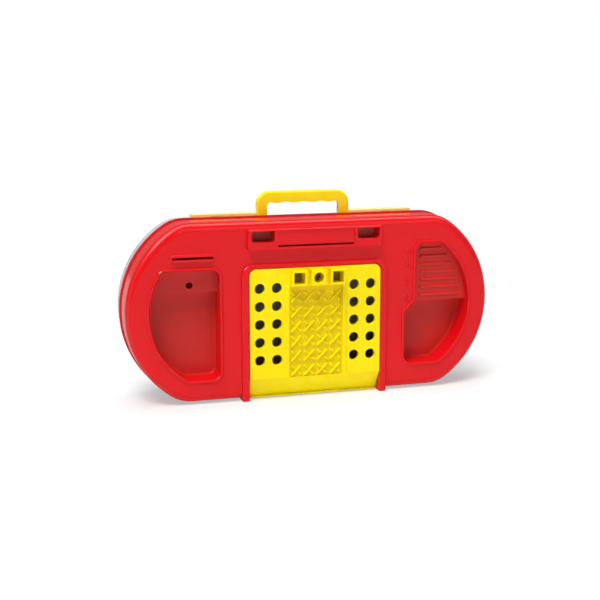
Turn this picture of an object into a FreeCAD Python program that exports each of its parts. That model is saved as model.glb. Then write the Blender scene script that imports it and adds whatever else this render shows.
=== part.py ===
import FreeCAD, Part
import os
import re
import Sketcher

# A toy workbench that closes into a carry case: a deep front half with trays,
# slots and a peg panel, a shallow back half hinged to it along the bottom edge,
# a folding handle and two sliding latches on the top edge.
#
# Frame: +Z up, X along the length, the bench face looks along -Y.
# Depths below are counted from the plane where the two halves meet, and every
# piece is then set back by depth_shift so that the whole case is centred.

doc = FreeCAD.newDocument("bench_case")
dims = doc.addObject("Spreadsheet::Sheet", "dims")

SIZES = [
    # case outline, shared by both halves
    ("case_length", 393),
    ("case_height", 185.9),
    ("case_bottom", 1),
    ("end_radius", 104),
    ("corner_blend", 40),
    ("wall", 2.5),
    ("depth_shift", 12.25),
    # front half
    ("face_depth", 41),
    ("front_round", 8.6),
    ("rim_step", 1.4),
    ("rim_depth", 5),
    ("rim_edge", 0.5),
    ("rib_inner", 70.6),
    ("rib_width", 7.2),
    ("rib_height", 4),
    ("rib_top", 142.3),
    ("rib_edge", 0.8),
    ("foot_gap", 6),
    # trays sunk into the bench face
    ("tray_radius", 79),
    ("tray_corner", 8),
    ("tray_wall", 2),
    ("lip_width", 3),
    ("lip_height", 2),
    ("lip_break", 0.8),
    ("tray_depth", 24),
    ("floor_break", 1.6),
    ("left_tray_width", 96.5),
    ("left_tray_top", 138.3),
    ("left_tray_bottom", 25.8),
    ("left_ledge_bottom", 114.5),
    ("left_ledge_depth", 10.5),
    ("ledge_hole_in", 67.5),
    ("ledge_hole_up", 121.8),
    ("ledge_hole_radius", 3.5),
    ("right_tray_width", 97.5),
    ("right_tray_jog", 12),
    ("right_jog_top", 95.8),
    ("right_tray_top", 156.8),
    ("right_tray_bottom", 28.8),
    ("right_ledge_bottom", 94),
    ("right_ledge_depth", 8),
    ("ridge_first", 100.2),
    ("ridge_pitch", 8.2),
    ("ridge_radius", 1.7),
    ("nub_inner_in", 70.4),
    ("nub_outer_in", 47),
    ("nub_radius", 1.4),
    ("nub_height", 2.8),
    # tool bar across the top of the face
    ("bar_half", 72),
    ("bar_bottom", 156.3),
    ("bar_top", 177.8),
    ("bar_height", 6),
    ("bar_round", 2),
    ("pocket_inner", 44),
    ("pocket_outer", 68),
    ("pocket_bottom", 164.8),
    ("pocket_top", 175.8),
    ("pocket_depth", 11.5),
    ("slit_half", 40.5),
    ("slit_bottom", 159.4),
    ("slit_width", 1.8),
    ("slit_depth", 8),
    ("plate_sink", 1.2),
    # saw slot in its raised lozenge, above the left tray
    ("saw_end", 46.5),
    ("saw_length", 45),
    ("saw_bottom", 146.8),
    ("saw_top", 155.3),
    ("saw_height", 3),
    ("saw_margin", 2),
    ("saw_slit", 2.3),
    ("saw_depth", 14),
    # peg panel
    ("panel_half", 70),
    ("panel_top", 137.3),
    ("panel_corner", 7),
    ("ramp_top", 23.3),
    ("ramp_depth", 11.6),
    ("panel_edge", 10.6),
    ("hole_radius", 5.35),
    ("hole_inner", 41.5),
    ("hole_outer", 59.5),
    ("hole_first", 42.4),
    ("hole_pitch", 18.7),
    ("tread_half", 28.6),
    ("tread_sink", 1.2),
    ("tread_bar", 2),
    ("tread_first_across", 21),
    ("tread_first_up", 29.9),
    ("tread_pitch_across", 14),
    ("tread_pitch_up", 15.4),
    ("rail_width", 3.9),
    ("rail_height", 1.8),
    ("socket_pitch", 20.5),
    ("socket_up", 127.8),
    ("socket_side", 16),
    ("socket_height", 11.5),
    ("socket_hole", 11.8),
    ("socket_sink", 14.5),
    ("window_half", 65.5),
    ("window_bottom", 34),
    ("window_top", 126),
    ("panel_screw_low", 30),
    ("panel_screw_high", 131.6),
    # back half
    ("back_depth", 32),
    ("back_inset", 3),
    ("back_round", 5),
    ("tongue", 3),
    ("recess_sink", 6),
    ("shoulder_inset", 0.6),
    ("shoulder_thick", 2),
    # hinge along the bottom edge
    ("hinge_across", 105),
    ("hinge_up", 3.5),
    ("knuckle_radius", 3.2),
    ("knuckle_length", 12),
    ("hinge_pin_radius", 1.5),
    ("play", 0.4),
    ("running", 0.05),
    # handle, its brackets and pins
    ("handle_half", 50.3),
    ("handle_leg", 11),
    ("handle_top", 211.3),
    ("grip_bottom", 199.8),
    ("handle_thick", 8),
    ("handle_corner", 14),
    ("handle_edge", 2.2),
    ("pivot_back", 4.4),
    ("pivot_up", 186.7),
    ("finger_pitch", 19),
    ("finger_drop", 1),
    ("finger_radius", 26),
    ("strip_front", 0.5),
    ("strip_back", 9),
    ("strip_top", 189.8),
    ("handle_play", 0.8),
    ("bracket_width", 25.4),
    ("bracket_grip", 8),
    ("pin_in_handle", 7.5),
    ("screw_radius", 1.25),
    ("screw_head", 2.5),
    ("bracket_screw_pitch", 7.8),
    # sliding latches
    ("latch_length", 43),
    ("latch_travel", 7),
    ("lug_length", 11),
    ("lug_stem", 4),
    ("lug_front", 4),
    ("lug_back", 6.5),
    ("groove_radius", 0.8),
    ("groove_pitch", 2.4),
]
NAMES = [alias for alias, size in SIZES]

# Places that follow from the sizes: trays and slots keep their distance from the case's ends,
# and the strips along the top edge follow on from the handle.
PLACES = {
    "left_tray_edge": "case_length / 2 - left_tray_width",
    "right_tray_edge": "case_length / 2 - right_tray_width",
    "saw_left": "case_length / 2 - saw_end",
    "saw_right": "case_length / 2 - saw_end - saw_length",
    "ledge_hole_across": "case_length / 2 - ledge_hole_in",
    "recess_half": "handle_half + 2 * handle_play",
    "bracket_inner": "handle_half + handle_play",
    "bracket_outer": "bracket_inner + bracket_width",
    "bracket_screw_out": "bracket_outer - 4.2",
    "bracket_screw_in": "bracket_screw_out - bracket_screw_pitch",
    "latch_inner": "bracket_outer + 0.5",
    "latch_outer": "latch_inner + latch_length",
    "lug_inner": "latch_inner + 10",
    "lug_outer": "lug_inner + lug_length",
    "key_inner": "lug_outer + 2.5",
    "key_outer": "latch_outer - 4",
}
for row, (alias, size) in enumerate(SIZES, 1):
    dims.set("A%d" % row, alias)
    dims.set("B%d" % row, str(size))
    dims.setAlias("B%d" % row, alias)
doc.recompute()

V = FreeCAD.Vector
TURNS = {
    "x": FreeCAD.Rotation(V(0, 1, 0), 90),
    "y": FreeCAD.Rotation(V(1, 0, 0), -90),
    "z": FreeCAD.Rotation(),
}
AXES = {"x": V(1, 0, 0), "y": V(0, 1, 0), "z": V(0, 0, 1)}
MID_UP = "(case_bottom + case_height / 2)"
CASE_TOP = "(case_bottom + case_height)"
BACK_TOP = "(case_bottom + case_height - back_inset)"
END_X = "(case_length / 2 - end_radius)"
FAR = "case_length"


def val(alias):
    return float(dims.get(alias))


def ex(text):
    """A formula with each size's name pointed at its cell and each place written out."""

    def point(found):
        word = found.group(0)
        if word in PLACES:
            return "(%s)" % ex(PLACES[word])
        return "dims." + word if word in NAMES else word

    return re.sub(r"[a-z_]+", point, text)


def bind(item, prop, text):
    item.setExpression(prop, ex(text))


gauge = doc.addObject("App::FeaturePython", "gauge")
gauge.addProperty("App::PropertyFloat", "reading")


def figure(text):
    """The present value of a formula."""
    bind(gauge, "reading", text)
    gauge.recompute()
    return gauge.reading


def box(name, x, y, z):
    """A block between two formulas on each axis."""
    item = doc.addObject("Part::Box", name)
    for prop, axis, span in (("Length", "x", x), ("Width", "y", y), ("Height", "z", z)):
        bind(item, prop, "(%s) - (%s)" % (span[1], span[0]))
        bind(item, "Placement.Base." + axis, span[0])
    return item


def rod(name, axis, x, y, z, radius, seam=0):
    """A round bar along one axis: that axis takes two ends, the others a centre."""
    item = doc.addObject("Part::Cylinder", name)
    turn = TURNS[axis].multiply(FreeCAD.Rotation(V(0, 0, 1), seam))
    item.Placement = FreeCAD.Placement(V(), turn)
    places = {"x": x, "y": y, "z": z}
    start, end = places[axis]
    bind(item, "Radius", radius)
    bind(item, "Height", "(%s) - (%s)" % (end, start))
    places[axis] = start
    for letter, text in places.items():
        bind(item, "Placement.Base." + letter, text)
    return item


def join(name, items):
    item = doc.addObject("Part::MultiFuse", name)
    item.Shapes = items
    return item


def overlap(name, items):
    item = doc.addObject("Part::MultiCommon", name)
    item.Shapes = items
    return item


def carve(name, base, tools):
    item = doc.addObject("Part::Cut", name)
    item.Base = base
    item.Tool = tools[0] if len(tools) == 1 else join(name + "_tools", tools)
    return item


def straight(edge, axis):
    """Whether an edge is a straight line along an axis."""
    if edge.Curve.TypeId != "Part::GeomLine":
        return False
    ends = [v.Point for v in edge.Vertexes]
    return abs((ends[1] - ends[0]).normalize().dot(AXES[axis])) > 0.999


def lies_at(edge, axis, value):
    """Whether the whole edge lies in one plane across an axis."""
    points = edge.discretize(5)
    return all(abs(p.dot(AXES[axis]) - value) < 0.01 for p in points)


def ease(name, base, kind, size, picks):
    """Rounds or bevels the edges that a test picks."""
    doc.recompute()
    item = doc.addObject("Part::" + kind, name)
    item.Base = base
    edges = [i for i, e in enumerate(base.Shape.Edges, 1) if picks(e)]
    if not edges:
        raise ValueError("no edge to ease on " + name)
    item.Edges = [(i, size, size) for i in edges]
    return item


def mirrored(name, base):
    item = doc.addObject("Part::Mirroring", name)
    item.Source = base
    item.Normal = V(1, 0, 0)
    return item


def set_back(item, label, depth="0"):
    """Names a finished piece and moves it from its own depth into the shared frame."""
    item.Label = label
    bind(item, "Placement.Base.y", depth + " + depth_shift")
    return item


def outline(name, inset, y):
    """The case outline drawn in by an inset: two end arcs cut by flats, with blended corners."""
    arc = "end_radius - (%s)" % inset
    left = rod(name + "_end_left", "y", "-" + END_X, y, MID_UP, arc)
    right = rod(name + "_end_right", "y", END_X, y, MID_UP, arc, 180)
    middle = box(name + "_middle", ("-" + END_X, END_X), y, (MID_UP + " - end_radius", MID_UP + " + end_radius"))
    whole = join(name + "_ends", [left, right, middle])
    low = "case_bottom + (%s)" % inset
    high = "%s - (%s)" % (CASE_TOP, inset)
    band = box(name + "_band", ("-" + FAR, FAR), y, (low, high))
    plate = overlap(name + "_plate", [band, whole])
    doc.recompute()
    drawn = plate.Shape.BoundBox
    middle_up = (drawn.ZMin + drawn.ZMax) / 2
    reach = 0.99 * (drawn.ZMax - drawn.ZMin) / 2
    blend = val("corner_blend") - (drawn.ZMin - val("case_bottom"))

    def corner(edge):
        return straight(edge, "y") and abs(edge.CenterOfMass.z - middle_up) > reach

    return ease(name + "_outline", plate, "Fillet", blend, corner)


def rounded_end(name, base, depth, radius):
    """Rounds the outline's edge at one depth."""
    return ease(name, base, "Fillet", radius, lambda e: lies_at(e, "y", depth))


def bevelled_end(name, base, depth, size):
    """Breaks the edges at one depth."""
    return ease(name, base, "Chamfer", size, lambda e: lies_at(e, "y", depth))


def tray(name, side, grow, y):
    """A tray outline, grown all round: a straight inner side and an end arc on the case's own centre."""
    reach = "tray_radius + (%s)" % grow
    if side == "left":
        arc = rod(name + "_arc", "y", "-" + END_X, y, MID_UP, reach)
        high = "left_tray_top + (%s)" % grow
        low = "left_tray_bottom - (%s)" % grow
        field = box(name + "_field", ("-" + FAR, "(%s) - left_tray_edge" % grow), y, (low, high))
    else:
        arc = rod(name + "_arc", "y", END_X, y, MID_UP, reach, 180)
        high = "right_tray_top + (%s)" % grow
        low = "right_tray_bottom - (%s)" % grow
        turn = "right_jog_top + 0.414 * (%s)" % grow
        wide = box(name + "_wide", ("right_tray_edge - (%s)" % grow, FAR), y, (low, turn))
        doc.recompute()
        near = wide.Shape.BoundBox

        def jog(edge):
            spot = edge.CenterOfMass
            return straight(edge, "y") and abs(spot.x - near.XMin) < 0.01 and abs(spot.z - near.ZMax) < 0.01

        slanted = ease(name + "_slant", wide, "Chamfer", val("right_tray_jog"), jog)
        inner = "right_tray_edge + right_tray_jog - (%s)" % grow
        narrow = box(name + "_narrow", (inner, FAR), y, (turn + " - 1", high))
        field = join(name + "_field", [slanted, narrow])
    plate = overlap(name + "_plate", [arc, field])
    doc.recompute()
    drawn = plate.Shape.BoundBox
    grown = val("left_tray_bottom" if side == "left" else "right_tray_bottom") - drawn.ZMin

    def corner(edge):
        spot = edge.CenterOfMass
        return straight(edge, "y") and min(spot.z - drawn.ZMin, drawn.ZMax - spot.z) < 0.01

    return ease(name + "_outline", plate, "Fillet", val("tray_corner") + grown, corner)


def pair(name, make):
    """A piece on the right and its mirror on the left."""
    right = make(name + "_right")
    return [right, mirrored(name + "_left", right)]


def set_back_pair(items, label):
    """Names two mirrored pieces: the right one is moved, and its mirror follows it."""
    right, left = items
    set_back(right, label + "_right")
    left.Label = label + "_left"


# Front half: a hollow moulding, open at the back, with a stepped rim where it meets the back half.
FACE = "-face_depth"
outer = rounded_end("front_outer", outline("front_out", "rim_step", (FACE, "0")), -val("face_depth"), val("front_round"))
rim_plate = outline("rim", "0", ("-rim_depth", "0"))
rim = bevelled_end("rim_band", rim_plate, 0, val("rim_edge"))
inner_end = val("wall") - val("face_depth")
inner = rounded_end(
    "front_inner",
    outline("front_in", "rim_step + wall", ("wall - face_depth", "2")),
    inner_end,
    val("front_round") - val("wall"),
)
rim_inner = outline("rim_in", "wall", ("-(tongue + 0.6)", "2"))

# The raised frame round the peg panel: two ribs that run under the case as feet.
rib_front = "-(face_depth + rib_height)"
rib_outer = "rib_inner + rib_width"
rib_blank = box("rib_blank", ("-(%s)" % rib_outer, rib_outer), (rib_front, "0.6 - rim_depth"), ("0", "rib_top"))


def rib_edge(edge):
    spot = edge.CenterOfMass
    top = straight(edge, "y") and abs(spot.z - val("rib_top")) < 0.01
    return top


rib_round = ease("rib_round", rib_blank, "Fillet", figure("panel_corner + rib_top - panel_top"), rib_edge)
rib_foot = ease(
    "rib_foot",
    rib_round,
    "Fillet",
    3,
    lambda e: straight(e, "x") and e.CenterOfMass.z < 0.01 and e.CenterOfMass.y < -val("face_depth"),
)
rib_hollow = box("rib_hollow", ("-rib_inner", "rib_inner"), (rib_front + " - 1", "0"), ("-1", "panel_top + 0.6"))


def rib_inside(edge):
    return straight(edge, "y") and edge.CenterOfMass.z > val("panel_top")


rib_space = ease("rib_space", rib_hollow, "Fillet", val("panel_corner") + 0.6, rib_inside)
rib_frame = carve("rib_frame", rib_foot, [rib_space])
rib_plane = figure(rib_front)
ribs = bevelled_end("ribs", rib_frame, rib_plane, val("rib_edge"))

# The tool bar across the top of the face.
bar_blank = box("bar_blank", ("-bar_half", "bar_half"), ("-(face_depth + bar_height)", FACE + " + 1"),
                ("bar_bottom", "bar_top"))
bar_front = -(val("face_depth") + val("bar_height"))
bar_ends = ease("bar_ends", bar_blank, "Fillet", 3, lambda e: straight(e, "y"))
bar = rounded_end("bar", bar_ends, bar_front, val("bar_round"))

# The lozenge that the saw slot is cut in.
saw_blank = box("saw_blank", ("-saw_left", "-saw_right"), ("-(face_depth + saw_height)", FACE + " + 1"),
                ("saw_bottom", "saw_top"))
saw_ends = ease("saw_ends", saw_blank, "Fillet", 4, lambda e: straight(e, "y"))
saw = rounded_end("saw_lozenge", saw_ends, -(val("face_depth") + val("saw_height")), 1.5)

lip_span = ("-(face_depth + lip_height)", FACE + " + 1")
lips = []
for side in ("left", "right"):
    lip_plate = tray(side + "_lip_plate", side, "lip_width", lip_span)
    lip_hole = tray(side + "_lip_hole", side, "0", ("-(face_depth + lip_height + 1)", FACE + " + 2"))
    lip = carve(side + "_lip", lip_plate, [lip_hole])
    lips.append(bevelled_end(side + "_lip_eased", lip, -(val("face_depth") + val("lip_height")), val("lip_break")))

raised = join("raised", [outer, rim, ribs, bar, saw] + lips)
skin = carve("skin", raised, [inner, rim_inner])

# Tray tubs and slot boxes stand on the inside of the skin.
tub_span = (FACE + " + 1", "tray_depth + tray_wall - face_depth")
tubs = [tray(side + "_tub", side, "tray_wall", tub_span) for side in ("left", "right")]


def pocket_box(name):
    return box(name, ("pocket_inner - tray_wall", "pocket_outer + tray_wall"), (FACE + " + 1", "pocket_depth + tray_wall - face_depth"),
               ("pocket_bottom - tray_wall", "pocket_top + tray_wall"))


slit_box = box("slit_box", ("-(slit_half + tray_wall)", "slit_half + tray_wall"), (FACE + " + 1", "slit_depth + tray_wall - face_depth"),
               ("slit_bottom - tray_wall", "slit_bottom + slit_width + tray_wall"))
saw_box = box("saw_box", ("-saw_left", "-saw_right"), (FACE + " + 1", "saw_depth + tray_wall - face_depth"), ("saw_bottom", "saw_top"))

# Hinge knuckles on the bottom edge: two on the front half, one between them on the back half.
knuckle_half = "knuckle_length / 2"
front_near = "hinge_across - 1.5 * knuckle_length"
front_far = "hinge_across + 1.5 * knuckle_length"


def front_knuckle_in(name):
    return rod(name, "x", (front_near, "hinge_across - %s - play / 2" % knuckle_half), "0", "hinge_up", "knuckle_radius")


def front_knuckle_out(name):
    return rod(name, "x", ("hinge_across + %s + play / 2" % knuckle_half, front_far), "0", "hinge_up", "knuckle_radius")


# Hooked lugs on the top edge, for the latches.
lug_span = (CASE_TOP + " - wall", CASE_TOP + " - 0.2")


def lug_stem(name):
    return box(name, ("lug_outer - lug_stem", "lug_outer"), ("-2", "lug_back"), lug_span)


def lug_head(name):
    return box(name, ("lug_inner", "lug_outer"), ("lug_front", "lug_back"), lug_span)


filled = join(
    "filled",
    [skin, slit_box, saw_box] + tubs
    + pair("pocket_box", pocket_box)
    + pair("front_knuckle_in", front_knuckle_in)
    + pair("front_knuckle_out", front_knuckle_out)
    + pair("lug_stem", lug_stem)
    + pair("lug_head", lug_head),
)

# What is sunk into the face.
mouth = "-(face_depth + lip_height + 1)"

def well(name, side, ledge_bottom):
    """The deep part of a tray, below its ledge, with the edge of its floor broken."""
    floor = "tray_depth - face_depth"
    whole = tray(name + "_whole", side, "0", (mouth, floor))
    below = box(name + "_below", ("-" + FAR, FAR), (mouth + " - 1", "0"), ("0", ledge_bottom))
    part = overlap(name + "_part", [whole, below])
    return bevelled_end(name, part, figure(floor), val("floor_break"))


left_shelf = tray("left_shelf", "left", "0", (mouth, "left_ledge_depth - face_depth"))
left_well = well("left_well", "left", "left_ledge_bottom")
right_shelf = tray("right_shelf", "right", "0", (mouth, "right_ledge_depth - face_depth"))
right_well = well("right_well", "right", "right_ledge_bottom")

# The rack in the right tray: round ridges that end short of the tray's arc, with staggered stops on them.
ridges = []
for i in range(7):
    up = "ridge_first + %d * ridge_pitch" % i
    reach = "%s + sqrt(tray_radius ^ 2 - (%s - %s) ^ 2)" % (END_X, up, MID_UP)
    ridges.append(rod("ridge_%d" % i, "x", ("right_tray_edge + right_tray_jog + 8", reach + " - 7"), "right_ledge_depth - face_depth",
                      up, "ridge_radius"))
for i, place in ((1, "nub_inner_in"), (2, "nub_outer_in"), (3, "nub_inner_in"), (4, "nub_outer_in")):
    nub = rod("nub_%d" % i, "y", "case_length / 2 - " + place, ("right_ledge_depth - face_depth - nub_height", "1 - face_depth + right_ledge_depth"),
              "ridge_first + %d * ridge_pitch" % i, "nub_radius")
    nub_tip = figure("right_ledge_depth - face_depth - nub_height")
    ridges.append(bevelled_end("stop_%d" % i, nub, nub_tip, 0.6))
right_rack = carve("right_rack", right_shelf, ridges)
ledge_hole = rod("ledge_hole", "y", "-ledge_hole_across", (mouth, "0"), "ledge_hole_up", "ledge_hole_radius")


def pocket(name):
    blank = box(name + "_blank", ("pocket_inner", "pocket_outer"), ("-(face_depth + bar_height + 1)", "pocket_depth - face_depth"),
                ("pocket_bottom", "pocket_top"))
    return ease(name, blank, "Fillet", 3,
                lambda e: straight(e, "y") and e.CenterOfMass.z < val("pocket_bottom") + 0.01)


slit = box("slit", ("-slit_half", "slit_half"), ("-(face_depth + bar_height + 1)", "slit_depth - face_depth"),
           ("slit_bottom", "slit_bottom + slit_width"))
plate_sink = box("plate_recess", ("-(slit_half + 0.5)", "slit_half + 0.5"),
                 ("-(face_depth + bar_height + 1)", "plate_sink - face_depth - bar_height"),
                 ("slit_bottom + slit_width - 0.1", "bar_top - 1.6"))
saw_middle = "(saw_bottom + saw_top) / 2"
saw_cut = box("saw_cut", ("saw_margin - saw_left", "-(saw_right + saw_margin)"), ("-(face_depth + saw_height + 1)", "saw_depth - face_depth"),
              (saw_middle + " - saw_slit / 2", saw_middle + " + saw_slit / 2"))

# The window behind the peg panel and the notch for its ramp.
window = box("window", ("-window_half", "window_half"), (rib_front, "wall - face_depth + 1"), ("window_bottom", "window_top"))
notch = box("notch", ("-rib_inner", "rib_inner"), (rib_front + " - 1", "-(face_depth - panel_edge - 0.4)"), ("-1", "ramp_top + 2.7"))


def panel_screw_way(name, up):
    return rod(name, "y", "hole_outer", (FACE + " - 1", "wall - face_depth + 1"), up, "screw_radius + 0.15")


def low_way(name):
    return panel_screw_way(name, "panel_screw_low")


def high_way(name):
    return panel_screw_way(name, "panel_screw_high")


def knuckle_room(name):
    """Room in the front half for the back half's knuckle."""
    return box(name, ("hinge_across - %s - play / 2" % knuckle_half, "hinge_across + %s + play / 2" % knuckle_half),
               ("-(knuckle_radius + play)", "knuckle_radius + play"), ("0", "hinge_up + knuckle_radius + play"))


def pin_way(name):
    return rod(name, "x", (front_near + " - 1", front_far + " + 1"), "0", "hinge_up", "hinge_pin_radius + running")


front_shell = carve(
    "front_shell",
    filled,
    [left_shelf, left_well, right_rack, right_well, ledge_hole, slit, plate_sink, saw_cut, window, notch]
    + pair("pocket", pocket)
    + pair("low_way", low_way)
    + pair("high_way", high_way)
    + pair("knuckle_room", knuckle_room)
    + pair("front_pin_way", pin_way),
)
set_back(front_shell, "front_shell")

# Peg panel: one bent profile, then its holes, tread field, rails and sockets.
body = doc.addObject("PartDesign::Body", "peg_panel")


def plane(role):
    return [f for f in body.Origin.OriginFeatures if f.Role == role][0]


def sketch_on(name, role, offset="0"):
    sketch = body.newObject("Sketcher::SketchObject", name)
    sketch.AttachmentSupport = (plane(role), [""])
    sketch.MapMode = "FlatFace"
    bind(sketch, "AttachmentOffset.Base.z", offset)
    return sketch


def pin_point(sketch, line, across, up):
    """Holds the start of a sketch line at two formulas."""
    for kind, text in (("DistanceX", across), ("DistanceY", up)):
        spot = sketch.Geometry[line].StartPoint
        now = spot.x if kind == "DistanceX" else spot.y
        index = sketch.addConstraint(Sketcher.Constraint(kind, -1, 1, line, 1, now))
        sketch.setExpression("Constraints[%d]" % index, ex(text))


def loop(sketch, points):
    """A closed run of lines through points given as formulas."""
    first = sketch.GeometryCount
    spots = [V(float(figure(a)), float(figure(b)), 0) for a, b in points]
    count = len(spots)
    for i, spot in enumerate(spots):
        sketch.addGeometry(Part.LineSegment(spot, spots[(i + 1) % count]), False)
    for i in range(count):
        sketch.addConstraint(Sketcher.Constraint("Coincident", first + i, 2, first + (i + 1) % count, 1))
    for i, (across, up) in enumerate(points):
        pin_point(sketch, first + i, across, up)


def rectangle(sketch, left, right, low, high):
    loop(sketch, [(left, low), (right, low), (right, high), (left, high)])


def disc(sketch, across, up, radius):
    index = sketch.addGeometry(Part.Circle(V(float(figure(across)), float(figure(up)), 0), V(0, 0, 1), float(figure(radius))), False)
    for kind, text in (("DistanceX", across), ("DistanceY", up)):
        now = float(figure(text))
        held = sketch.addConstraint(Sketcher.Constraint(kind, -1, 1, index, 3, now))
        sketch.setExpression("Constraints[%d]" % held, ex(text))
    held = sketch.addConstraint(Sketcher.Constraint("Radius", index, float(figure(radius))))
    sketch.setExpression("Constraints[%d]" % held, ex(radius))


def feature(kind, name, sketch, length):
    item = body.newObject("PartDesign::" + kind, name)
    item.Profile = sketch
    bind(item, "Length", length)
    return item


panel_front = "face_depth + rib_height"
profile = sketch_on("panel_profile", "YZ_Plane")
ramp_foot = "ramp_depth - face_depth - rib_height"
panel_heel = "panel_edge - face_depth"
loop(
    profile,
    [
        ("-(%s)" % panel_front, "panel_top"),
        ("-(%s)" % panel_front, "ramp_top"),
        (ramp_foot, "case_bottom + 2"),
        (ramp_foot + " - 2", "case_bottom + 2"),
        (ramp_foot + " - 2", "case_bottom + 0.5"),
        (panel_heel, "case_bottom + 0.5"),
        (panel_heel, "case_bottom + 2.8"),
        (FACE, "ramp_top - 0.95"),
        (FACE, "panel_top"),
    ],
)
sheet_pad = feature("Pad", "panel_sheet", profile, "2 * panel_half")
sheet_pad.SideType = "Symmetric"
doc.recompute()
corners = []
for i, edge in enumerate(sheet_pad.Shape.Edges, 1):
    if straight(edge, "y") and edge.CenterOfMass.z > val("panel_top") - 0.01:
        corners.append("Edge%d" % i)
panel_round = body.newObject("PartDesign::Fillet", "panel_round")
panel_round.Base = (sheet_pad, corners)
bind(panel_round, "Radius", "panel_corner")

tread_sketch = sketch_on("tread_field", "XZ_Plane", panel_front)
rectangle(tread_sketch, "-tread_half", "tread_half", "ramp_top", "socket_up - socket_side / 2 - 1")
feature("Pocket", "tread_recess", tread_sketch, "tread_sink")

rail_sketch = sketch_on("rail_lines", "XZ_Plane", panel_front)
for near, far in (("-(tread_half + rail_width)", "-tread_half"), ("tread_half", "tread_half + rail_width")):
    rectangle(rail_sketch, near, far, "ramp_top", "socket_up - socket_side / 2 - 1")
rail_pad = feature("Pad", "rails", rail_sketch, "rail_height")
doc.recompute()
rail_front = figure("-(face_depth + rib_height + rail_height)")
rail_edges = ["Edge%d" % i for i, e in enumerate(rail_pad.Shape.Edges, 1) if lies_at(e, "y", rail_front)]
rail_soft = body.newObject("PartDesign::Fillet", "rail_soft")
rail_soft.Base = (rail_pad, rail_edges)
rail_soft.Radius = 0.8
body.Tip = rail_soft
doc.recompute()

# One tread mark: a long bar leaning right, crossed by two short stubs leaning left.
mark_sketch = sketch_on("tread_mark_lines", "XZ_Plane", panel_front + " - tread_sink")
MARK = (
    ((-4.75, -6.45), (6.45, 4.75), (4.75, 6.45), (-6.45, -4.75)),
    ((-6.25, 4.55), (-2.65, 0.95), (-0.95, 2.65), (-4.55, 6.25)),
    ((0.95, -2.65), (4.55, -6.25), (6.25, -4.55), (2.65, -0.95)),
)
for bar_points in MARK:
    loop(
        mark_sketch,
        [("%.2f - tread_first_across" % a, "tread_first_up + (%.2f)" % b) for a, b in bar_points],
    )
mark_pad = feature("Pad", "tread_mark", mark_sketch, "tread_bar")
mark_pad.TaperAngle = -20
across = body.newObject("PartDesign::MultiTransform", "tread_marks")
across.Originals = [mark_pad]
steps = []
columns = 4
rows = 6
for name, axis, pitch, count in (
    ("tread_columns", "H_Axis", "tread_pitch_across", columns),
    ("tread_rows", "V_Axis", "tread_pitch_up", rows),
):
    step = body.newObject("PartDesign::LinearPattern", name)
    step.Direction = (mark_sketch, [axis])
    step.Occurrences = count
    bind(step, "Length", "%d * %s" % (count - 1, pitch))
    steps.append(step)
across.Transformations = steps
body.Tip = across
doc.recompute()

socket_sketch = sketch_on("socket_blocks", "XZ_Plane", panel_front)
for i in (-1, 0, 1):
    mid = "%d * socket_pitch" % i
    rectangle(socket_sketch, mid + " - socket_side / 2", mid + " + socket_side / 2", "socket_up - socket_side / 2",
              "socket_up + socket_side / 2")
socket_pad = feature("Pad", "sockets", socket_sketch, "socket_height")
doc.recompute()
socket_front = figure("-(face_depth + rib_height + socket_height)")
socket_edges = ["Edge%d" % i for i, e in enumerate(socket_pad.Shape.Edges, 1) if lies_at(e, "y", socket_front)]
socket_soft = body.newObject("PartDesign::Fillet", "socket_soft")
socket_soft.Base = (socket_pad, socket_edges)
socket_soft.Radius = 0.7
body.Tip = socket_soft
doc.recompute()
well_sketch = sketch_on("socket_wells", "XZ_Plane", panel_front + " + socket_height")
for i in (-1, 1):
    mid = "%d * socket_pitch" % i
    rectangle(well_sketch, mid + " - socket_hole / 2", mid + " + socket_hole / 2", "socket_up - socket_hole / 2",
              "socket_up + socket_hole / 2")
disc(well_sketch, "0", "socket_up", "hole_radius")
feature("Pocket", "socket_holes", well_sketch, "socket_sink")

peg_sketch = sketch_on("peg_row", "XZ_Plane", panel_front)
for across_text in ("-hole_outer", "-hole_inner", "hole_inner", "hole_outer"):
    disc(peg_sketch, across_text, "hole_first", "hole_radius")
peg_cut = feature("Pocket", "peg_holes_row", peg_sketch, "rib_height + 1")
doc.recompute()
peg_rows = body.newObject("PartDesign::LinearPattern", "peg_holes")
peg_rows.Originals = [peg_cut]
peg_rows.Direction = (peg_sketch, ["V_Axis"])
peg_rows.Occurrences = 5
bind(peg_rows, "Length", "4 * hole_pitch")
body.Tip = peg_rows
doc.recompute()
blind_sketch = sketch_on("panel_screw_spots", "XZ_Plane", "face_depth")
for up in ("panel_screw_low", "panel_screw_high"):
    for across_text in ("-hole_outer", "hole_outer"):
        disc(blind_sketch, across_text, up, "screw_radius + running")
blind = feature("Pocket", "panel_screw_holes", blind_sketch, "rib_height - 1")
blind.Reversed = True
set_back(body, "peg_panel")


def screw(name, x, y, z, axis, head, tip):
    """A plain pan-head screw between the underside of its head and its tip, head side first."""
    places = {"x": x, "y": y, "z": z}
    head_places = dict(places)
    head_places[axis] = head
    shank_places = dict(places)
    shank_places[axis] = tip
    top = rod(name + "_head", axis, head_places["x"], head_places["y"], head_places["z"], "screw_head")
    shank = rod(name + "_shank", axis, shank_places["x"], shank_places["y"], shank_places["z"], "screw_radius")
    return join(name, [top, shank])


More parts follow.
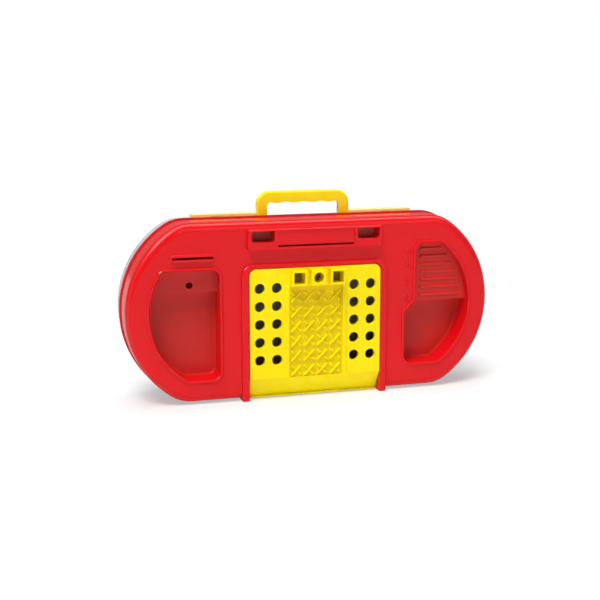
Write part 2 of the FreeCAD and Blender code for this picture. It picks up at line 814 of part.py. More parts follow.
panel_screw_list = []
for up, level in (("panel_screw_low", "low"), ("panel_screw_high", "high")):
    for sign, side in (("-", "left"), ("", "right")):
        panel_screw_list.append(
            screw(
                "panel_screw_%s_%s" % (level, side),
                sign + "hole_outer",
                None,
                up,
                "y",
                ("wall - face_depth", "wall - face_depth + 1.8"),
                ("1.6 - face_depth - rib_height", "wall - face_depth + 0.2"),
            )
        )
panel_screws = doc.addObject("Part::Compound", "panel_screws")
panel_screws.Links = panel_screw_list
set_back(panel_screws, "panel_screws")

# Back half: a shallower hollow moulding whose rim tucks inside the front half.
back_edge = val("back_depth")
back_outer = rounded_end("back_outer", outline("back_out", "back_inset", ("-tongue", "back_depth")), back_edge, val("back_round"))
back_inner_plain = rounded_end(
    "back_inner_plain",
    outline("back_in", "back_inset + wall", ("-tongue - 1", "back_depth - wall")),
    back_edge - val("wall"),
    val("back_round") - val("wall"),
)
recess_floor = BACK_TOP + " - recess_sink"
over_recess = box("over_recess", ("-(recess_half + wall)", "recess_half + wall"), ("-tongue - 2", "back_depth"),
                  (recess_floor + " - wall", CASE_TOP))
back_inner = carve("back_inner", back_inner_plain, [over_recess])
shoulder_ring = outline("shoulder", "shoulder_inset", ("0", "shoulder_thick"))
shoulder_hole = outline("shoulder_in", "back_inset + 1", ("-1", "shoulder_thick + 1"))
shoulder_gap = box("shoulder_gap", ("-(latch_outer + latch_travel + 2)", "latch_outer + latch_travel + 2"), ("-1", "shoulder_thick + 1"), ("0", "handle_top"))
shoulder_low = box("shoulder_low", ("-" + FAR, FAR), ("-1", "shoulder_thick + 1"), ("0", "case_bottom + 20"))
shoulder = carve("shoulder_band", shoulder_ring, [shoulder_hole, shoulder_gap, shoulder_low])


def back_foot(name):
    return box(name, ("rib_inner", rib_outer), ("foot_gap", "back_depth - 3"), ("0", "case_bottom + back_inset + 1"))


def back_knuckle(name):
    return rod(name, "x", ("hinge_across - %s + play / 2" % knuckle_half, "hinge_across + %s - play / 2" % knuckle_half), "0",
               "hinge_up", "knuckle_radius")


back_skin = carve("back_skin", back_outer, [back_inner])
back_filled = join("back_filled", [back_skin, shoulder] + pair("back_foot", back_foot) + pair("back_knuckle", back_knuckle))
recess = box("recess", ("-recess_half", "recess_half"), ("0", "back_depth + 1"), (recess_floor, CASE_TOP))


def room_in(name):
    """Room in the back half for a knuckle of the front half."""
    return box(name, (front_near + " - play", "hinge_across - %s + play / 2" % knuckle_half),
               ("-(tongue + 1)", "knuckle_radius + play"), ("0", "hinge_up + knuckle_radius + play"))


def room_out(name):
    return box(name, ("hinge_across + %s - play / 2" % knuckle_half, front_far + " + play"),
               ("-(tongue + 1)", "knuckle_radius + play"), ("0", "hinge_up + knuckle_radius + play"))


def key_way(name):
    """The slot in the top wall that a latch's key runs in."""
    return box(name, ("key_inner - play", "key_outer + latch_travel + play"), ("pivot_back - 1.3", "pivot_back + 1.3"),
               (BACK_TOP + " - wall - 1", BACK_TOP + " + 1"))


def bracket_way_in(name):
    return rod(name, "z", "bracket_screw_in", "pivot_back", (BACK_TOP + " - wall - 1", BACK_TOP + " + 1"), "screw_radius + 0.15")


def bracket_way_out(name):
    return rod(name, "z", "bracket_screw_out", "pivot_back", (BACK_TOP + " - wall - 1", BACK_TOP + " + 1"), "screw_radius + 0.15")


back_shell = carve(
    "back_shell",
    back_filled,
    [recess]
    + pair("room_in", room_in)
    + pair("room_out", room_out)
    + pair("back_pin_way", pin_way)
    + pair("key_way", key_way)
    + pair("bracket_way_in", bracket_way_in)
    + pair("bracket_way_out", bracket_way_out),
)
set_back(back_shell, "back_shell")


# Handle brackets: the inner ends of the strips along the top edge.
def strip_edge(edge):
    spot = edge.CenterOfMass
    return straight(edge, "x") and spot.z > val("strip_top") - 0.01


def bracket(name):
    blank = box(name + "_blank", ("bracket_inner", "bracket_outer"), ("strip_front", "strip_back"), (BACK_TOP, "strip_top"))
    eased = ease(name + "_eased", blank, "Fillet", 1.2, strip_edge)
    bore = rod(name + "_bore", "x", ("bracket_inner - 1", "bracket_inner + bracket_grip + 0.3"), "pivot_back", "pivot_up",
               "hinge_pin_radius + running")
    ways = []
    for spot in ("bracket_screw_in", "bracket_screw_out"):
        ways.append(rod(name + "_" + spot, "z", spot, "pivot_back", (BACK_TOP + " - 1", BACK_TOP + " + 4.8"),
                        "screw_radius + running"))
    return carve(name, eased, [bore] + ways)


set_back_pair(pair("bracket", bracket), "handle_bracket")

bracket_screw_list = []
for sign, side in (("-", "left"), ("", "right")):
    for spot in ("bracket_screw_in", "bracket_screw_out"):
        bracket_screw_list.append(
            screw(
                "%s_%s" % (spot, side),
                sign + spot,
                "pivot_back",
                None,
                "z",
                (BACK_TOP + " - wall - 1.8", BACK_TOP + " - wall"),
                (BACK_TOP + " - wall - 0.2", BACK_TOP + " + 4.5"),
            )
        )
bracket_screws = doc.addObject("Part::Compound", "bracket_screws")
bracket_screws.Links = bracket_screw_list
set_back(bracket_screws, "bracket_screws")

# Steel pins of the case hinge and of the handle.
for side, sign in (("left", "-"), ("right", "")):
    ends = (front_near + " + 0.5", front_far + " - 0.5")
    if side == "left":
        ends = ("-(%s)" % ends[1], "-(%s)" % ends[0])
    hinge_rod = rod("hinge_rod_" + side, "x", ends, "0", "hinge_up", "hinge_pin_radius")
    set_back(hinge_rod, "hinge_pin_" + side)
    ends = ("handle_half - pin_in_handle", "bracket_inner + bracket_grip")
    if side == "left":
        ends = ("-(%s)" % ends[1], "-(%s)" % ends[0])
    handle_rod = rod("handle_rod_" + side, "x", ends, "pivot_back", "pivot_up", "hinge_pin_radius")
    set_back(handle_rod, "handle_pin_" + side, "pivot_back")

# Carry handle: a bow with round feet, a rounded top and a grip that swells between the fingers.
handle_span = ("pivot_back - handle_thick / 2", "pivot_back + handle_thick / 2")
bow_blank = box("bow_blank", ("-handle_half", "handle_half"), handle_span, ("pivot_up", "handle_top"))
bow = ease("bow", bow_blank, "Fillet", val("handle_corner"),
           lambda e: straight(e, "y") and e.CenterOfMass.z > val("handle_top") - 0.01)
gap_blank = box("gap_blank", ("-(handle_half - handle_leg)", "handle_half - handle_leg"),
                ("pivot_back - handle_thick", "pivot_back + handle_thick"), ("pivot_up - handle_thick", "grip_bottom"))
gap = ease("gap", gap_blank, "Fillet", 4, lambda e: straight(e, "y") and e.CenterOfMass.z > val("grip_bottom") - 0.01)
swells = []
for i in range(4):
    mid = "%.1f * finger_pitch" % (i - 1.5)
    swells.append(rod("swell_%d" % i, "y", mid, ("pivot_back - handle_thick", "pivot_back + handle_thick"),
                      "grip_bottom - finger_drop + finger_radius", "finger_radius"))
finger_gap = carve("finger_gap", gap, swells)
bow_sides = [val("pivot_back") - val("handle_thick") / 2, val("pivot_back") + val("handle_thick") / 2]


def bow_edge(edge):
    """The long outer edges of the bow, front and back, but not those across its open bottom."""
    low = lies_at(edge, "z", val("pivot_up"))
    return not low and any(lies_at(edge, "y", side) for side in bow_sides)


bow_soft = ease("bow_soft", bow, "Fillet", val("handle_edge"), bow_edge)
bow_open = carve("bow_open", bow_soft, [finger_gap])


def handle_foot(name):
    return rod(name, "x", ("handle_half - handle_leg", "handle_half"), "pivot_back", "pivot_up", "handle_thick / 2")


handle_filled = join("handle_filled", [bow_open] + pair("handle_foot", handle_foot))


def handle_bore(name):
    return rod(name, "x", ("handle_half - pin_in_handle - 0.3", "handle_half + 1"), "pivot_back", "pivot_up",
               "hinge_pin_radius + running")


carry_handle = carve("carry_handle", handle_filled, pair("handle_bore", handle_bore))
set_back(carry_handle, "carry_handle")


# Sliding latches: each strip's outer length, hooked over a lug and keyed through the back half's top wall.
def latch(name):
    blank = box(name + "_blank", ("latch_inner", "latch_outer"), ("strip_front", "strip_back"), (BACK_TOP + " + 0.1", "strip_top"))
    eased = ease(name + "_eased", blank, "Fillet", 1.2, strip_edge)
    stem = box(name + "_stem", ("key_inner", "key_outer"), ("pivot_back - 1", "pivot_back + 1"),
               (BACK_TOP + " - wall - 1.2", BACK_TOP + " + 1"))
    head = box(name + "_head", ("key_inner", "key_outer"), ("pivot_back - 2.6", "pivot_back + 2.6"),
               (BACK_TOP + " - wall - 2.2", BACK_TOP + " - wall - 0.3"))
    whole = join(name + "_whole", [eased, stem, head])
    roof = CASE_TOP + " + 0.1"
    entry = box(name + "_entry", ("lug_inner - 0.6", "lug_outer + 0.6"), ("strip_front - 1", "lug_back + 0.6"), (BACK_TOP, roof))
    channel = box(name + "_channel", ("lug_inner - latch_travel - 0.6", "lug_outer + 0.6"),
                  ("lug_front - 0.4", "lug_back + 0.6"), (BACK_TOP, roof))
    grooves = []
    for i in range(5):
        across = "latch_outer - 6 - %d * groove_pitch" % i
        grooves.append(rod("%s_groove_%d" % (name, i), "y", across, ("strip_front - 1", "strip_back + 1"),
                           "strip_top + groove_radius / 2", "groove_radius"))
    return carve(name, whole, [entry, channel] + grooves)


set_back_pair(pair("latch", latch), "latch_slider")

NODES = [
    "front_shell",
    "peg_panel",
    "panel_screws",
    "back_shell",
    "handle_bracket_left",
    "handle_bracket_right",
    "bracket_screws",
    "hinge_pin_left",
    "hinge_pin_right",
    "handle_pin_left",
    "handle_pin_right",
    "carry_handle",
    "latch_slider_left",
    "latch_slider_right",
]
doc.removeObject("gauge")
doc.recompute()
for item in doc.Objects:
    if "Invalid" in item.State or "Error" in item.State:
        raise ValueError("%s did not build: %s" % (item.Label, item.getStatusString()))
os.makedirs("parts", exist_ok=True)
for node in NODES:
    piece = doc.getObjectsByLabel(node)[0]
    if piece.Shape.isNull() or not piece.Shape.isValid():
        raise ValueError(node + " has no valid shape")
    piece.Shape.exportStep("parts/%s.step" % node)
    print("%s: %d solids, %.1f cm3" % (node, len(piece.Shape.Solids), piece.Shape.Volume / 1000))
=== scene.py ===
# %% [markdown]
# # A toy workbench that closes into a carry case
# The real toy is a set of injection-moulded plastic pieces: a red front half, a
# yellow peg panel screwed into it, a pale grey back half, and an amber handle
# between two amber strips on the top edge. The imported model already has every
# piece at its real size, so this lesson loads it, finishes its surfaces and adds
# the small moulded marks that a child sorts the tools by.

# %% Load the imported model
import math

import bmesh
import bpy
from mathutils import Matrix, Vector


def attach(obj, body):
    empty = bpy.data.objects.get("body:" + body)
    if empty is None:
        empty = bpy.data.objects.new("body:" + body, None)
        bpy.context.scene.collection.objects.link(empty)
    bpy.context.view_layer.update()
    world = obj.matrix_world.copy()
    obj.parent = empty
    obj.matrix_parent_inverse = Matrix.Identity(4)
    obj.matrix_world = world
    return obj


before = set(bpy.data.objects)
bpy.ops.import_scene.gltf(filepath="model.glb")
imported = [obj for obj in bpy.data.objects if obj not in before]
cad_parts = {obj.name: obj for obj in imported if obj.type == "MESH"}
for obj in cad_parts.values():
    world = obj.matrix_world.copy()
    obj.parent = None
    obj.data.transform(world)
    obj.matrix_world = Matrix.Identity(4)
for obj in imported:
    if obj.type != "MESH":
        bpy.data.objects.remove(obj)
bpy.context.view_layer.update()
MM = 0.001
scene = bpy.context.scene
print("nodes:", sorted(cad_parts))

# %% [markdown]
# ## Camera
# The picture was taken from a little to the left and a little above, with a
# longish lens. A lens of 69.6 mm on a 36 mm square sensor gives the same
# perspective, so the camera is placed once, at its true distance, and looks along
# one measured direction. Depth of field stays off.

# %% Place the camera
EYE = Vector((-349.2, -1149.8, 324.8)) * MM
LOOK = Vector((0.2799, 0.9418, -0.1864))
LENS_MM = 69.6
SENSOR_MM = 36
camera_data = bpy.data.cameras.new("photo_lens")
camera_data.sensor_fit = "HORIZONTAL"
camera_data.sensor_width = SENSOR_MM
camera_data.lens = LENS_MM
camera = bpy.data.objects.new("photo_camera", camera_data)
camera.location = EYE
camera.rotation_euler = LOOK.to_track_quat("-Z", "Y").to_euler()
scene.collection.objects.link(camera)
scene.camera = camera
print("camera at", [round(c, 4) for c in camera.location])

# %% [markdown]
# ## Smooth curves, crisp edges
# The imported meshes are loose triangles. Each rounded wall should shade as one
# smooth surface, while true corners stay crisp. A Weld joins the triangles, and an
# Edge Split opens the mesh again wherever two faces meet at a real corner. Both
# are modifiers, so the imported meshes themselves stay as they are.

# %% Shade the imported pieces
CREASE = math.radians(28)
WELD_GAP = 0.002 * MM
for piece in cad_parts.values():
    piece.data.polygons.foreach_set("use_smooth", [True] * len(piece.data.polygons))
    weld = piece.modifiers.new("weld", "WELD")
    weld.merge_threshold = WELD_GAP
    split = piece.modifiers.new("crease", "EDGE_SPLIT")
    split.split_angle = CREASE
    split.use_edge_sharp = False
print("smoothed", len(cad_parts), "pieces")

# %% [markdown]
# ## Colours and nodes
# Colours are written as the sRGB hex values that an eye reads off the toy, and
# Blender works in linear light, so one function converts them. A second function
# adds a node, sets it up and links its inputs, which keeps each material readable.

# %% Two helpers for materials


def linear(code):
    """A linear colour with alpha from an sRGB hex code."""
    parts = [int(code[i:i + 2], 16) / 255 for i in (1, 3, 5)]
    return [p / 12.92 if p <= 0.04045 else ((p + 0.055) / 1.055) ** 2.4 for p in parts] + [1]


def add(tree, kind, settings, **inputs):
    """One node: settings are its properties, inputs are socket values or links to sockets.

    An input is named for its socket, or is _0, _1 and so on for a socket by its place.
    """
    made = tree.nodes.new(kind)
    for key, value in settings.items():
        setattr(made, key, value)
    for key, value in inputs.items():
        by_place = key[1:].isdigit()
        socket = made.inputs[int(key[1:]) if by_place else key.replace("_", " ")]
        if isinstance(value, bpy.types.NodeSocket):
            tree.links.new(value, socket)
        else:
            socket.default_value = value
    return made


RED = "#E30E18"
print("red reads as", [round(c, 3) for c in linear(RED)])

# %% [markdown]
# ## Moulded plastic
# Toy housings like this are polypropylene or ABS with the pigment all through, so
# the colour is even and the gloss comes from the polished mould. Three things keep
# it from looking like paint: a faint drift of colour where the melt flowed, a gloss
# that varies over a centimetre or two, and a very low orange peel. The peel on the
# real part is finer than a pixel here, so it is drawn coarser to show at all. The
# floors of the trays, and the ground between the raised tread marks, get a deeper
# tone, which is painted shade for these recesses, and a duller gloss. The floors of
# the two bar pockets get a greyer tone, which is a painted haze of reflected light in
# their shade, and those of the three sockets a darker one, painted shade for their
# deep wells. They could be separate pieces, but one material can find them by two
# facts: how far they lie behind the face, and that they look straight forward. The
# shallow floors come first, and each deeper one takes over from there, down to the
# tray wells in the red housing and to the lip under the ramp in the yellow panel,
# which takes its plain yellow and gloss again.

# %% One recipe for all the moulded pieces
FLOW = 70 * MM
FLOW_BAND = (0.36, 0.62)
HAZE = 14 * MM
HAZE_BAND = (0.35, 0.65)
PEEL = 1.6 * MM
PEEL_STRENGTH = 0.35
FACING_BLEND = 0.08
PLASTIC_IOR = 1.5


def moulded(name, tone, shade, gloss, peel_depth, level, floors=()):
    """Pigmented glossy plastic: tone drifts a little towards shade, gloss is (smooth, dull).

    Each of the floors is (tone, dullness, first depth, last depth, facing), shallow ones first.
    """
    material = bpy.data.materials.new(name)
    material.use_nodes = True
    tree = material.node_tree
    tree.nodes.clear()
    coordinates = add(tree, "ShaderNodeTexCoord", {}).outputs
    place = coordinates["Object"]
    flow = add(tree, "ShaderNodeTexNoise", {}, Vector=place, Scale=1 / FLOW, Detail=2.0,
               Roughness=0.45)
    drift = add(tree, "ShaderNodeValToRGB", {}, Fac=flow.outputs["Fac"])
    for stop, position, code in zip(drift.color_ramp.elements, FLOW_BAND, (shade, tone)):
        stop.position = position
        stop.color = linear(code)
    haze = add(tree, "ShaderNodeTexNoise", {}, Vector=place, Scale=1 / HAZE, Detail=3.0,
               Roughness=0.5)
    rough = add(tree, "ShaderNodeMapRange", {}, Value=haze.outputs["Fac"], From_Min=HAZE_BAND[0],
                From_Max=HAZE_BAND[1], To_Min=gloss[0], To_Max=gloss[1])
    grain = add(tree, "ShaderNodeTexNoise", {}, Vector=place, Scale=1 / PEEL, Detail=1.0,
                Roughness=0.4)
    bump = add(tree, "ShaderNodeBump", {}, Height=grain.outputs["Fac"], Strength=PEEL_STRENGTH,
               Distance=peel_depth)
    colour = drift.outputs["Color"]
    dullness = rough.outputs["Result"]
    deep = add(tree, "ShaderNodeSeparateXYZ", {}, Vector=place)
    facing = add(tree, "ShaderNodeSeparateXYZ", {}, Vector=coordinates["Normal"])
    # Each floor mixes in its own tone: painted shade for the tray, tread and socket floors, a
    # painted haze for the bar pockets, and the plain yellow again for the ramp lip.
    for floor_tone, floor_dullness, first, last, limit in floors:
        behind = add(tree, "ShaderNodeMapRange", {}, Value=deep.outputs["Y"], From_Min=first,
                     From_Max=last)
        forward = add(tree, "ShaderNodeMapRange", {}, Value=facing.outputs["Y"], From_Min=limit,
                      From_Max=limit - FACING_BLEND)
        share = add(tree, "ShaderNodeMath", {"operation": "MULTIPLY"}, _0=behind.outputs["Result"],
                    _1=forward.outputs["Result"]).outputs[0]
        colour = add(tree, "ShaderNodeMix", {"data_type": "RGBA"}, _0=share, _6=colour,
                     _7=linear(floor_tone)).outputs[2]
        dullness = add(tree, "ShaderNodeMapRange", {}, Value=share, To_Min=dullness,
                       To_Max=floor_dullness).outputs["Result"]
    shader = add(tree, "ShaderNodeBsdfPrincipled", {}, Base_Color=colour, Roughness=dullness,
                 Normal=bump.outputs["Normal"], IOR=PLASTIC_IOR, Specular_IOR_Level=level)
    add(tree, "ShaderNodeOutputMaterial", {}, Surface=shader.outputs["BSDF"])
    return material


print("gloss varies over", round(HAZE / MM), "mm and colour over", round(FLOW / MM), "mm")

# %% [markdown]
# ## Where the floors lie
# The two halves meet at a parting line, and every depth is measured from it. The red
# face stands 41 mm in front of that line and the yellow panel 45 mm. A floor is given
# by the depth behind its face at which its tone begins and the depth at which it is
# complete. The last number says how squarely the floor must look forward: -1 is dead
# straight. The ramp leans back, so the yellow floors have to be nearly straight.

# %% Depths of the floors
PARTING = 12.25
FACE_Y = (PARTING - 41) * MM
PANEL_Y = (PARTING - 45) * MM
ROUGHLY_FORWARD = -0.6
NEARLY_FORWARD = -0.9
# The tray shelves and wells take a deeper red, which is painted shade for these recesses.
TRAY_PAINTED_SHADE = "#CE2A24"
YELLOW = "#FFEA00"
TRAY_SHELVES_PAINTED_SHADE = (TRAY_PAINTED_SHADE, 0.45, FACE_Y + 1.5 * MM, FACE_Y + 3 * MM, ROUGHLY_FORWARD)
# The bar pocket floors take a greyer red, which is a painted haze of reflected light in their
# shade.
POCKET_FLOORS_PAINTED_HAZE = ("#D0746C", 0.6, FACE_Y + 10.9 * MM, FACE_Y + 11.3 * MM, ROUGHLY_FORWARD)
TRAY_WELLS_PAINTED_SHADE = (TRAY_PAINTED_SHADE, 0.45, FACE_Y + 18 * MM, FACE_Y + 19 * MM, ROUGHLY_FORWARD)
# The ground between the tread marks takes a deeper yellow, which is painted shade between the
# raised marks.
TREAD_GROUND_PAINTED_SHADE = ("#ECD200", 0.5, PANEL_Y + 0.5 * MM, PANEL_Y + 1 * MM, NEARLY_FORWARD)
# The socket floors take a dark olive, which is painted shade for their deep wells.
SOCKET_FLOORS_PAINTED_SHADE = ("#968646", 0.6, PANEL_Y + 2 * MM, PANEL_Y + 2.6 * MM, NEARLY_FORWARD)
RAMP_LIP = (YELLOW, 0.28, PANEL_Y + 6 * MM, PANEL_Y + 7 * MM, NEARLY_FORWARD)
print("red face at", round(FACE_Y, 5), "and yellow panel at", round(PANEL_Y, 5))

# %% [markdown]
# ## Five plastics
# The red and grey halves are polypropylene, which is a little waxy, and the yellow
# and amber pieces are ABS, which takes a harder polish. The strips beside the handle
# get a paler tone than the handle, which is a painted reflection of the white
# background on them.

# %% Finish the moulded pieces


def finish_nodes(material, *names):
    """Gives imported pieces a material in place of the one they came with."""
    for name in names:
        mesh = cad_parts[name].data
        mesh.materials.clear()
        mesh.materials.append(material)


red_housing = moulded("moulded_red_polypropylene", RED, "#DF0C16", (0.13, 0.18), 0.003 * MM, 0.3,
                      [TRAY_SHELVES_PAINTED_SHADE, POCKET_FLOORS_PAINTED_HAZE, TRAY_WELLS_PAINTED_SHADE])
yellow_panel = moulded("moulded_yellow_abs", YELLOW, "#FDE500", (0.24, 0.32), 0.004 * MM, 0.17,
                       [TREAD_GROUND_PAINTED_SHADE, SOCKET_FLOORS_PAINTED_SHADE, RAMP_LIP])
amber_handle = moulded("moulded_amber_abs", "#FFF61C", "#FDF014", (0.24, 0.34), 0.004 * MM, 0.18)
# The strips' pale tone is a painted reflection of the white background on them.
strips_painted_reflection = moulded("amber_abs_painted_reflection", "#FFF09A", "#FDEB90", (0.24, 0.34), 0.004 * MM,
                       0.3)
grey_back = moulded("moulded_pale_grey_polypropylene", "#C8CCD2", "#C2C6CD", (0.3, 0.42),
                    0.008 * MM, 0.3)
finish_nodes(red_housing, "front_shell")
finish_nodes(yellow_panel, "peg_panel")
finish_nodes(amber_handle, "carry_handle")
finish_nodes(strips_painted_reflection, "handle_bracket_left", "handle_bracket_right", "latch_slider_left",
             "latch_slider_right")
finish_nodes(grey_back, "back_shell")
for plastic in (red_housing, yellow_panel, amber_handle, strips_painted_reflection, grey_back):
    print("moulded finish:", plastic.name)

# %% [markdown]
# ## Zinc-plated steel
# The pins and the small screws are plain wire and cold-headed steel with a thin
# bright zinc plating. The plating is metallic with a soft sheen, and its fine
# spangle shows as small changes of gloss a millimetre or so across.

# %% Plated steel for pins and screws
SPANGLE = 1.2 * MM
plated = bpy.data.materials.new("zinc_plated_steel")
plated.use_nodes = True
tree = plated.node_tree
tree.nodes.clear()
place = add(tree, "ShaderNodeTexCoord", {}).outputs["Object"]
cells = add(tree, "ShaderNodeTexVoronoi", {}, Vector=place, Scale=1 / SPANGLE)
tint = add(tree, "ShaderNodeValToRGB", {}, Fac=cells.outputs["Distance"])
tint.color_ramp.elements[0].color = linear("#C9CCD0")
tint.color_ramp.elements[1].color = linear("#B4B8BE")
sheen = add(tree, "ShaderNodeMapRange", {}, Value=cells.outputs["Distance"], To_Min=0.24,
            To_Max=0.4)
steel = add(tree, "ShaderNodeBsdfPrincipled", {}, Base_Color=tint.outputs["Color"],
            Roughness=sheen.outputs["Result"], Metallic=1.0)
add(tree, "ShaderNodeOutputMaterial", {}, Surface=steel.outputs["BSDF"])
finish_nodes(plated, "hinge_pin_left", "hinge_pin_right", "handle_pin_left", "handle_pin_right",
             "panel_screws", "bracket_screws")
print("plated:", plated.name)

# %% [markdown]
# ## Sorting marks
# Four small raised marks stand in a column on the red face, beside the upper half
# of the right tray. They are moulded in one with the housing, about 7 mm across and
# under a millimetre high. Each starts as a flat polygon, is thickened, and has its
# front edge bevelled, so it catches the light like the real ones.

# %% Raise a flat shape from the face
MARK_HEIGHT = 0.9 * MM
MARK_ROUND = 0.35 * MM
SUNK = 0.4 * MM
FLUSH = 1e-6
CORNER = 0.5


def raised_mark(name, across, up, draw):
    """A low relief on the red face, from flat faces that draw makes in the XZ plane."""
    mesh = bpy.data.meshes.new(name)
    shape = bmesh.new()
    draw(shape)
    bmesh.ops.recalc_face_normals(shape, faces=shape.faces)
    for face in shape.faces:
        if face.normal.y > 0:
            face.normal_flip()
    rims = [e for e in shape.edges if e.is_boundary]
    grown = bmesh.ops.extrude_face_region(shape, geom=shape.faces[:] + rims)
    raised = [v for v in grown["geom"] if isinstance(v, bmesh.types.BMVert)]
    bmesh.ops.translate(shape, verts=raised, vec=(0, -(MARK_HEIGHT + SUNK), 0))
    bmesh.ops.recalc_face_normals(shape, faces=shape.faces)
    front = min(v.co.y for v in shape.verts)
    edges = [e for e in shape.edges if all(abs(v.co.y - front) < FLUSH for v in e.verts)
             and e.calc_face_angle(0) > CORNER]
    bmesh.ops.bevel(shape, geom=edges, offset=MARK_ROUND, affect="EDGES", segments=3, profile=0.5,
                    material=-1)
    bmesh.ops.translate(shape, verts=shape.verts, vec=(across * MM, FACE_Y + SUNK, up * MM))
    shape.to_mesh(mesh)
    shape.free()
    mesh.polygons.foreach_set("use_smooth", [True] * len(mesh.polygons))
    mark = bpy.data.objects.new(name, mesh)
    scene.collection.objects.link(mark)
    split = mark.modifiers.new("crease", "EDGE_SPLIT")
    split.split_angle = CREASE
    mark.data.materials.append(red_housing)
    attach(mark, "front_half")
    return mark


print("marks stand", round(MARK_HEIGHT / MM, 2), "mm proud")

# %% Draw the four marks
TO_FACE = Matrix.Rotation(math.radians(90), 4, "X")
MARK_X = 101


def draw_washer(shape, sides, radius, wall):
    """A flat ring: a filled circle is inset, and its middle is taken out."""
    bmesh.ops.create_circle(shape, cap_ends=True, segments=sides, radius=radius, matrix=TO_FACE)
    middle = shape.faces[:]
    bmesh.ops.inset_region(shape, faces=middle, thickness=wall, use_boundary=True,
                           use_even_offset=True)
    bmesh.ops.delete(shape, geom=middle, context="FACES")


def draw_ring(shape):
    """A round washer."""
    draw_washer(shape, 32, 3.2 * MM, 1.3 * MM)


def draw_nut(shape):
    """A six-sided nut."""
    draw_washer(shape, 6, 3.6 * MM, 1.4 * MM)


def draw_square(shape):
    """A filled square that stands on one side."""
    turned = Matrix.Rotation(math.radians(45), 4, "Y") @ TO_FACE
    bmesh.ops.create_circle(shape, cap_ends=True, segments=4, radius=4.0 * MM, matrix=turned)


def draw_chevron(shape):
    """A chevron that points down."""
    outline = [(-3.2, 1.6), (0, -1.6), (3.2, 1.6), (3.2, 3.2), (0, 0.4), (-3.2, 3.2)]
    corners = [shape.verts.new((x * MM, 0, z * MM)) for x, z in outline]
    shape.faces.new(corners)


marks = [
    raised_mark("mark_chevron", MARK_X, 147.0, draw_chevron),
    raised_mark("mark_ring", MARK_X, 134.2, draw_ring),
    raised_mark("mark_square", MARK_X, 114.6, draw_square),
    raised_mark("mark_nut", MARK_X, 99.4, draw_nut),
]
print("marks:", [m.name for m in marks])

# %% [markdown]
# ## Floor and light
# The toy stands on a sheet of translucent white acrylic, like the top of a product
# table. A matt white floor would look grey away from the lamps, and it would hide
# the red half when that swings down below the case. So half of the sheet is matt
# white, which takes the shadow, and half lets the white sky and the opened half show
# through. That clear half is there only for rays that look at the sheet and for the
# lamps. The sky is white to the same kinds of ray, so one function serves both.

# %% Which rays see white
GLOSS_SHARE = 0.22


def seen_rays(tree, gloss):
    """A factor of 1 for camera and transmission rays, and a given part of it for glossy rays."""
    ray = add(tree, "ShaderNodeLightPath", {}).outputs
    seen = add(tree, "ShaderNodeMath", {"operation": "MULTIPLY_ADD"}, _0=ray["Is Glossy Ray"],
               _1=gloss, _2=ray["Is Camera Ray"])
    return add(tree, "ShaderNodeMath", {"operation": "MAXIMUM"}, _0=seen.outputs[0],
               _1=ray["Is Transmission Ray"]).outputs[0]


print("glossy rays take", GLOSS_SHARE, "of the white")

# %% Floor
SHEET_SIZE = 12
SHEET_WHITE = 0.92
SHEET_CLEAR = 0.5
SHEET_TINT = 0.87
floor_mesh = bpy.data.meshes.new("floor")
sheet = bmesh.new()
bmesh.ops.create_grid(sheet, x_segments=1, y_segments=1, size=SHEET_SIZE)
sheet.to_mesh(floor_mesh)
sheet.free()
floor = bpy.data.objects.new("floor", floor_mesh)
scene.collection.objects.link(floor)
acrylic = bpy.data.materials.new("translucent_white_acrylic")
acrylic.use_nodes = True
tree = acrylic.node_tree
tree.nodes.clear()
lamp_rays = add(tree, "ShaderNodeLightPath", {}).outputs["Is Shadow Ray"]
passing = add(tree, "ShaderNodeMath", {"operation": "MAXIMUM"}, _0=seen_rays(tree, 1.0),
              _1=lamp_rays)
share = add(tree, "ShaderNodeMath", {"operation": "MULTIPLY"}, _0=passing.outputs[0],
            _1=SHEET_CLEAR)
milky = add(tree, "ShaderNodeBsdfDiffuse", {}, Color=[SHEET_WHITE] * 3 + [1])
clear = add(tree, "ShaderNodeBsdfTransparent", {}, Color=[SHEET_TINT] * 3 + [1])
both = add(tree, "ShaderNodeMixShader", {}, _0=share.outputs[0], _1=milky.outputs[0],
           _2=clear.outputs[0])
add(tree, "ShaderNodeOutputMaterial", {}, Surface=both.outputs[0])
floor.data.materials.append(acrylic)
print("floor:", acrylic.name)

# %% [markdown]
# ## Key, top light and softboxes
# The light is one wide, high key from the upper left, which gives the soft shade
# under the tool bar and in the trays, a weaker light straight above, which keeps the
# shadow on the floor close to the case, and what the floor throws back. Lights this
# wide would lie on every glossy curve as a broad veil, so both are kept out of the
# reflections. Three softboxes stand in for them there: one overhead draws the bright
# line along the rounded front edge, a weaker one in front draws the second, fainter
# line below it, and a small bright one draws the glint at the upper left corner. A
# colour that faces the camera renders about as written.

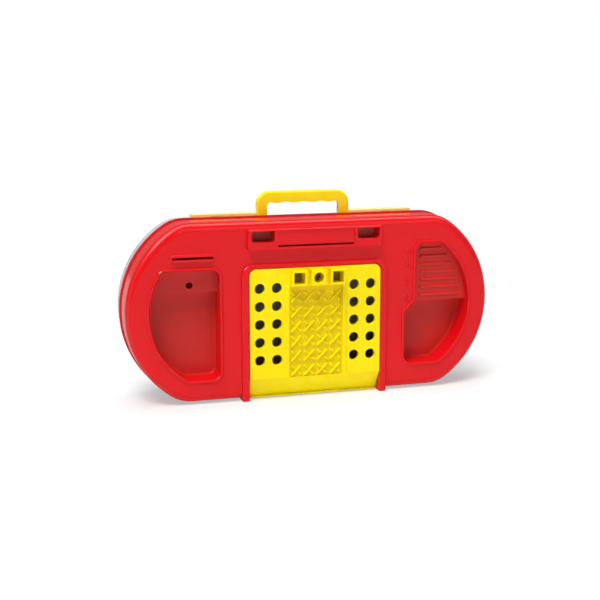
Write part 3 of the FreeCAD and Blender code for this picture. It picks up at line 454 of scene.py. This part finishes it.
# %% Key and top light
# Each sun has a name, a place, a strength and its width in the sky in degrees.
SUNS = (
    ("key", Vector((-0.48, -0.7, 1.6)), 2.65, 25),
    ("top", Vector((0.0, 0.03, 1.2)), 1.6, 36),
)
for name, place, strength, width in SUNS:
    sun = bpy.data.lights.new(name, "SUN")
    sun.energy = strength
    sun.angle = math.radians(width)
    lamp = bpy.data.objects.new(name, sun)
    lamp.location = place
    lamp.rotation_euler = (-place).to_track_quat("-Z", "Y").to_euler()
    lamp.visible_glossy = False
    scene.collection.objects.link(lamp)
    print(name, "has a strength of", strength)

# %% Sky
SKY_LEVEL = 0.06
world = bpy.data.worlds.new("studio")
scene.world = world
world.use_nodes = True
tree = world.node_tree
tree.nodes.clear()
level = add(tree, "ShaderNodeMapRange", {}, Value=seen_rays(tree, GLOSS_SHARE), To_Min=SKY_LEVEL,
            To_Max=1.0)
sky = add(tree, "ShaderNodeBackground", {}, Color=linear("#FFFFFF"),
          Strength=level.outputs["Result"])
add(tree, "ShaderNodeOutputWorld", {}, Surface=sky.outputs[0])
scene.view_settings.view_transform = "Standard"
print("sky gives", SKY_LEVEL, "to matt surfaces")

# %% Softboxes for the reflections
# Each softbox has a name, a place, a length, a width and a radiance.
SOFTBOXES = (
    ("box_overhead", Vector((0.0, 0.12, 1.5)), 3.0, 0.42, 6.0),
    ("box_front", Vector((0.41, -1.2, 0.8)), 1.4, 0.8, 0.9),
    ("box_corner", Vector((-1.1, -0.36, 1.28)), 0.4, 0.4, 26.0),
)
CASE_MIDDLE = Vector((0, 0, 0.1))
for name, place, long, wide, radiance in SOFTBOXES:
    box = bpy.data.lights.new(name, "AREA")
    box.shape = "RECTANGLE"
    box.size = long
    box.size_y = wide
    box.energy = math.pi * radiance * long * wide
    fitting = bpy.data.objects.new(name, box)
    fitting.location = place
    fitting.rotation_euler = (CASE_MIDDLE - place).to_track_quat("-Z", "Y").to_euler()
    fitting.visible_diffuse = False
    fitting.visible_camera = False
    scene.collection.objects.link(fitting)
    print(name, "gives", round(box.energy, 1), "W")
